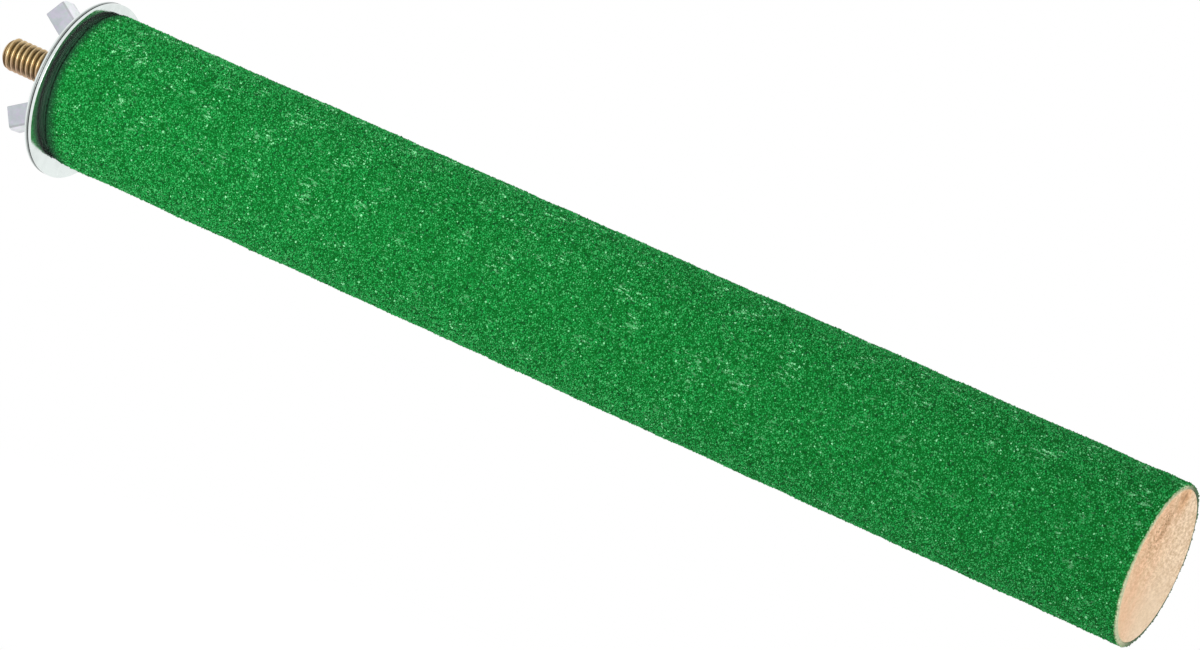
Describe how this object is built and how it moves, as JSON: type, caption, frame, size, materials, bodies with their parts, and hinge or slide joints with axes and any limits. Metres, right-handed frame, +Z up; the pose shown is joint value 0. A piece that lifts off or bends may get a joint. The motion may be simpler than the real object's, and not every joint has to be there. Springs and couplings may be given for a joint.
{
  "type": "bird perch",
  "caption": "Straight wooden bird perch in a green grit coat, held through a cage wall by a threaded stud, large washers and a wing nut.",
  "frame": {"origin": "middle of the clamping face of the inner washer, on the axis of the stud", "axes": "+X along the perch to its free end, -X out along the stud through the cage wall, +Z up with the perch level"},
  "size_m": [0.2674, 0.038, 0.038],
  "materials": {
    "perch_dowel": "bare sawn hardwood",
    "grit_coat": "coarse bonded mineral grit",
    "hanger_bolt": "yellow zinc plate",
    "inner_washer": "bright zinc plate",
    "outer_washer": "bright zinc plate",
    "wing_nut": "satin zinc plate"
  },
  "bodies": {
    "perch": {"perch_dowel": "perch_dowel", "grit_coat": "grit_coat", "hanger_bolt": "hanger_bolt", "inner_washer": "inner_washer"},
    "outer_washer": {"outer_washer": "outer_washer"},
    "wing_nut": {"wing_nut": "wing_nut"}
  },
  "joints": [
    {"name": "washer_slide", "type": "slide", "parent": "perch", "child": "outer_washer", "axis": [-1, 0, 0], "range_m": [0, 0.0115]},
    {"name": "nut_turn", "type": "hinge", "parent": "outer_washer", "child": "wing_nut", "pos_m": [-0.00095, 0, 0], "axis": [-1, 0, 0], "range_deg": [0, 3240]}
  ],
  "couplings": [
    {"joint": "washer_slide", "follows": "nut_turn", "m_per_rad": 0.00020213}
  ]
}
